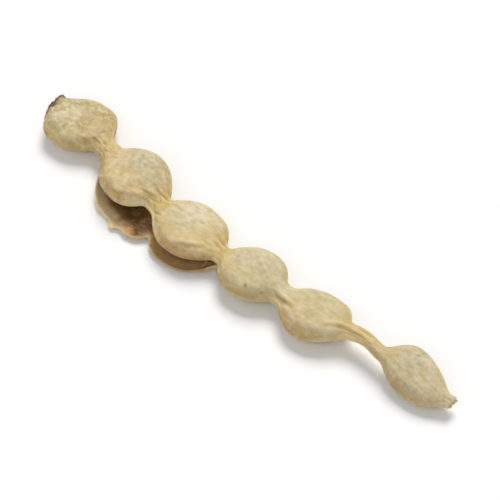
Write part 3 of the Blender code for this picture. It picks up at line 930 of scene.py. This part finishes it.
# %% Colours of the skin
STRAW = (0.58, 0.45, 0.21, 1.0)
CREAM = (0.62, 0.52, 0.32, 1.0)
BLEACHED_AND_HIGHLIGHT = (0.74, 0.66, 0.48, 1.0)
GREY = (0.485, 0.43, 0.30, 1.0)
GREEN_STRAW = (0.575, 0.52, 0.265, 1.0)
TAN = (0.56, 0.38, 0.185, 1.0)
OCHRE = (0.635, 0.45, 0.165, 1.0)
DULL_GREEN = (0.38, 0.335, 0.15, 1.0)
RIM_BROWN_AND_SHADE = (0.38, 0.235, 0.105, 1.0)
MOTTLE_PALE = (0.68, 0.60, 0.43, 1.0)
MOTTLE_OLIVE = (0.40, 0.31, 0.125, 1.0)
SPECK_BROWN = (0.34, 0.245, 0.095, 1.0)
HIGHLIGHT_PALE = (0.79, 0.62, 0.30, 1.0)
GROOVE_SHADE_BROWN = (0.30, 0.185, 0.055, 1.0)
CREASE_SHADE = (0.66, 0.66, 0.55, 1.0)


def wash(tree, colour, tint, mask, blotch, between, shares):
    """Lays a tint over the colour by a mask, at one share where the blotches are low and one where high."""
    share = times(tree, mask, ramp(tree, blotch, *between, *shares))
    return mix(tree, share, colour, tint)


# %% The broad washes
pod_finish, tree, shader = new_material("dry_pod_skin")
at = add_node(tree, "ShaderNodeTexCoord", {}).outputs["Object"]
tones = use_group(tree, blotches, {"Place": at, "Size": 190.0, "Warp": 0.8})
greens = use_group(tree, blotches, {"Place": at, "Size": 120.0, "Warp": 1.5})
ochre_neck_and_near_shade = attribute(tree, "neck")

colour = wash(tree, STRAW, CREAM, attribute(tree, "crown"), tones["Broad"], (0.0, 1.0), (0.45, 1.0))
# Bleached skin, and painted highlights where the skin faces the light.
colour = wash(tree, colour, BLEACHED_AND_HIGHLIGHT, attribute(tree, "bleach_and_highlight"), tones["Fine"], (0.1, 0.9), (0.5, 1.0))
colour = wash(tree, colour, GREY, attribute(tree, "grey"), tones["Fine"], (0.1, 0.9), (0.3, 1.0))
colour = mix(tree, attribute(tree, "green"), colour, GREEN_STRAW)
colour = wash(tree, colour, TAN, attribute(tree, "warm"), tones["Fine"], (0.9, 0.1), (0.3, 1.0))
# The necks' own ochre, and ochre painted shade on the near flanks.
colour = wash(tree, colour, OCHRE, ochre_neck_and_near_shade, tones["Fine"], (0.0, 1.0), (0.5, 0.95))
colour = wash(tree, colour, DULL_GREEN, greens["Broad"], tones["Fine"], (0.2, 0.9), (0.05, 0.32))
# Brown rims, partly painted shade on the near side.
colour = wash(tree, colour, RIM_BROWN_AND_SHADE, attribute(tree, "rim"), tones["Broad"], (0.0, 1.0), (0.25, 0.75))

# %% Hollows, crests and mottles
MOTTLE_SHARE = 0.3
mottle = use_group(tree, dapple, {"Place": at, "Size": 560.0})
flush = use_group(tree, dapple, {"Place": at, "Size": 430.0})

standing_mark = attribute(tree, "standing")
# Painted shade: the hollows are darkened towards dull green, and towards ochre in the necks and on the near
# flanks.
painted_hollow_shade = ramp(tree, standing_mark, 0.44, 0.12, 0.0, 0.35)
colour = mix(tree, painted_hollow_shade, colour, mix(tree, ochre_neck_and_near_shade, DULL_GREEN, OCHRE))
rubbed = ramp(tree, standing_mark, 0.55, 0.9, 0.0, 0.6)
colour = mix(tree, rubbed, colour, MOTTLE_PALE)
mottled = times(tree, attribute(tree, "mottled"), MOTTLE_SHARE)
for pattern, tint in ((mottle["Dark"], MOTTLE_OLIVE), (mottle["Pale"], MOTTLE_PALE), (flush["Dark"], TAN)):
    colour = mix(tree, times(tree, pattern, mottled), colour, tint)

# %% Strokes, specks, painted highlights on ridges and lips, painted shade in grooves and creases
SPECKED, HIGHLIGHTED, GROOVE_SHADING, CREASED = 0.8, 0.55, 0.9, 0.6
strokes = use_group(tree, grain, {"Place": at, "Stretch": 3.2, "Size": 2100.0})
spots = use_group(tree, specks, {"Place": at, "Size": 640.0, "Share": 0.22})
fuzz = use_group(tree, grain, {"Place": at, "Stretch": 6.0, "Size": 3200.0})
veins = use_group(tree, net, {"Place": at, "Stretch": 2.2, "Size": 1500.0})

colour = mix(tree, ramp(tree, strokes["Fibres"], 0.54, 0.7, 0.0, 0.25), colour, MOTTLE_OLIVE)
colour = mix(tree, times(tree, spots["Spots"], SPECKED), colour, SPECK_BROWN)
# Painted highlight on the ridges beside the grooves and on the lips.
colour = mix(tree, times(tree, attribute(tree, "ridge_and_lip_highlight"), HIGHLIGHTED), colour, HIGHLIGHT_PALE)
# Painted shade in the grooves.
colour = mix(tree, times(tree, attribute(tree, "groove"), GROOVE_SHADING), colour, GROOVE_SHADE_BROWN)
colour = mix(tree, times(tree, attribute(tree, "crease"), CREASED), colour, CREASE_SHADE, blend="MULTIPLY")
fibre_tone = ramp(tree, fuzz["Fibres"], 0.35, 0.65, 0.96, 1.04)
vein_tone = ramp(tree, veins["Cells"], 0.0, 1.0, 1.015, 0.985)
tone = times(tree, fibre_tone, vein_tone)
grey_tone = add_node(tree, "ShaderNodeCombineColor", {"Red": tone, "Green": tone, "Blue": tone})
colour = mix(tree, 1.0, colour, grey_tone.outputs["Color"], blend="MULTIPLY")

# %% [markdown]
# The lining is a warm brown, darkened with painted shade deep in the gap and paler towards the edge. It lies
# over the skin's colour by the mask of the inside. Over both come the torn fibres, the painted light on the
# flap and the dark stub.

# %% The lining and the torn places
LINING_DARK_AND_SHADE = (0.115, 0.053, 0.0145, 1.0)
LINING_PALE = (0.63, 0.385, 0.155, 1.0)
TORN_FIBRE = (0.60, 0.465, 0.29, 1.0)
FLAP_PAINTED_LIGHT = (0.87, 0.645, 0.355, 1.0)
STUB_BROWN = (0.15, 0.095, 0.04, 1.0)
LINING_FLUSH = 0.35

# Painted shade: the lining darkens towards its darkest colour deep in the gap.
shallow = ramp(tree, attribute(tree, "gap_shade"), 0.75, 0.15, 0.0, 0.95)
broken_up = ramp(tree, tones["Fine"], 0.3, 1.0, -0.1, 0.1)
lining = mix(tree, calculate(tree, "ADD", shallow, broken_up), LINING_DARK_AND_SHADE, LINING_PALE)
lining = mix(tree, ramp(tree, strokes["Fibres"], 0.5, 0.68, 0.0, 0.18), lining, TAN)
lining = mix(tree, times(tree, flush["Dark"], LINING_FLUSH), lining, LINING_DARK_AND_SHADE)
inside_mark = attribute(tree, "inside")
colour = mix(tree, inside_mark, colour, lining)
colour = wash(tree, colour, TORN_FIBRE, attribute(tree, "torn"), fuzz["Down"], (0.3, 0.6), (0.55, 1.0))
# Painted light on the flap's margin.
colour = wash(tree, colour, FLAP_PAINTED_LIGHT, attribute(tree, "flap_light"), tones["Fine"], (0.1, 0.9), (0.65, 1.0))
colour = wash(tree, colour, STUB_BROWN, attribute(tree, "stub"), tones["Broad"], (0.2, 0.8), (0.7, 1.0))
tree.links.new(colour, shader.inputs["Base Color"])

# %% [markdown]
# The skin is matt and a little rough with down, and the lining is smoother. The down, the fibres, the veins
# and the pits of the specks are finer than the mesh, so a bump of less than a tenth of a millimetre carries
# them.

# %% Gloss and fine relief
SKIN_SPECULAR = 0.22
LINING_SMOOTHER = 0.3
FIBRES_UP, DOWN_UP, VEINS_DOWN, SPOTS_DOWN = 0.35, 0.8, 0.35, 0.8

rough = ramp(tree, fuzz["Down"], 0.3, 0.7, 0.72, 0.92)
rough = calculate(tree, "SUBTRACT", rough, times(tree, inside_mark, LINING_SMOOTHER))
tree.links.new(rough, shader.inputs["Roughness"])
fibre_height = times(tree, fuzz["Fibres"], FIBRES_UP)
skin_height = calculate(tree, "ADD", fibre_height, times(tree, fuzz["Down"], DOWN_UP))
skin_height = calculate(tree, "SUBTRACT", skin_height, times(tree, veins["Cells"], VEINS_DOWN))
skin_height = calculate(tree, "SUBTRACT", skin_height, times(tree, spots["Spots"], SPOTS_DOWN))
bump = add_node(tree, "ShaderNodeBump", {"Strength": 0.45, "Distance": 0.09 * MM, "Height": skin_height})
tree.links.new(bump.outputs["Normal"], shader.inputs["Normal"])
shader.inputs["Specular IOR Level"].default_value = SKIN_SPECULAR
dry_pod.data.materials.append(pod_finish)
print("the skin's material has", len(tree.nodes), "nodes")

# %% [markdown]
# ## The finish of the seeds
# A ripe seed is dark brown with a satin gloss, a little uneven in tone, and dusty from its chamber. It is
# hard and smooth, so a thin coat over a rougher base gives the soft highlight.

# %% The seed coat
SEED_DARK = (0.035, 0.018, 0.010, 1.0)
SEED_BROWN = (0.10, 0.052, 0.026, 1.0)
DUST = (0.36, 0.27, 0.17, 1.0)
DUSTED = 0.35
COAT_WEIGHT, COAT_ROUGHNESS = 0.25, 0.3

seed_finish, tree, shader = new_material("ripe_seed_coat")
at = add_node(tree, "ShaderNodeTexCoord", {}).outputs["Object"]
tones = use_group(tree, blotches, {"Place": at, "Size": 420.0, "Warp": 0.5})
dust = use_group(tree, specks, {"Place": at, "Size": 2600.0, "Share": 0.35})
colour = mix(tree, tones["Broad"], SEED_DARK, SEED_BROWN)
colour = mix(tree, times(tree, dust["Spots"], DUSTED), colour, DUST)
tree.links.new(colour, shader.inputs["Base Color"])
tree.links.new(ramp(tree, tones["Fine"], 0.0, 1.0, 0.38, 0.55), shader.inputs["Roughness"])
bump = add_node(tree, "ShaderNodeBump", {"Strength": 0.25, "Distance": 0.03 * MM, "Height": tones["Fine"]})
tree.links.new(bump.outputs["Normal"], shader.inputs["Normal"])
shader.inputs["Coat Weight"].default_value = COAT_WEIGHT
shader.inputs["Coat Roughness"].default_value = COAT_ROUGHNESS
for seed in seeds:
    seed.data.materials.append(seed_finish)
print("the seeds' material has", len(tree.nodes), "nodes")
